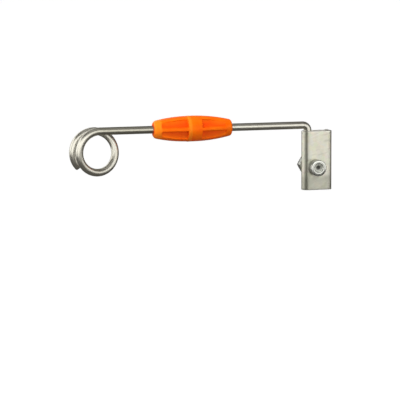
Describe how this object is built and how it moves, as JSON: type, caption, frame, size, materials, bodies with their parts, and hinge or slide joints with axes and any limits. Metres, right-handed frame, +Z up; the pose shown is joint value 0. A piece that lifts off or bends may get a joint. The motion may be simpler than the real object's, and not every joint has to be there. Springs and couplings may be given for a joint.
{
  "type": "offset wire eye insulator",
  "caption": "Coiled wire eye on a rod with a moulded barrel insulator, joined to a bent rod that swivels in a folded sheet clamp bolted to a post flange.",
  "frame": {"origin": "on the clamp screw's axis, in the plane of the clamp's rear face, which rests on the post", "axes": "+X runs along the arm towards the post's edge that the clamp's lip hooks, +Y goes through the post to the nut, +Z is up"},
  "size_m": [0.2107, 0.038, 0.0622],
  "materials": {
    "rod_steel": "satin drawn steel wire",
    "orange_plastic": "semi-gloss injection moulding",
    "galvanised_sheet": "dull galvanised, lightly scratched",
    "zinc_hardware": "bright zinc plate"
  },
  "bodies": {
    "clamp": {"clamp_strap": "galvanised_sheet"},
    "arm": {"eye_rod": "rod_steel", "insulator_body": "orange_plastic", "rear_rod": "rod_steel"},
    "screw": {"cap_screw": "zinc_hardware"},
    "flat_washer": {"flat_washer": "zinc_hardware"},
    "spring_washer": {"spring_washer": "zinc_hardware"},
    "nut": {"hex_nut": "zinc_hardware"}
  },
  "joints": [
    {"name": "arm_swivel", "type": "hinge", "parent": "clamp", "child": "arm", "pos_m": [-0.0051, -0.00505, 0.018], "axis": [0, 0, 1], "range_deg": [-5, 185]},
    {"name": "screw_turn", "type": "hinge", "parent": "clamp", "child": "screw", "pos_m": [0, -0.01, 0], "axis": [0, -1, 0], "range_deg": [0, 2520]},
    {"name": "nut_slide", "type": "slide", "parent": "clamp", "child": "nut", "axis": [0, 1, 0], "range_m": [0, 0.0088]},
    {"name": "spring_washer_slide", "type": "slide", "parent": "clamp", "child": "spring_washer", "axis": [0, 1, 0], "range_m": [0, 0.0059]},
    {"name": "flat_washer_slide", "type": "slide", "parent": "clamp", "child": "flat_washer", "axis": [0, 1, 0], "range_m": [0, 0.003]}
  ],
  "couplings": [
    {"joint": "nut_slide", "follows": "screw_turn", "m_per_rad": 0.00019894},
    {"joint": "spring_washer_slide", "follows": "screw_turn", "m_per_rad": 0.00013263},
    {"joint": "flat_washer_slide", "follows": "screw_turn", "m_per_rad": 0.000066315}
  ]
}
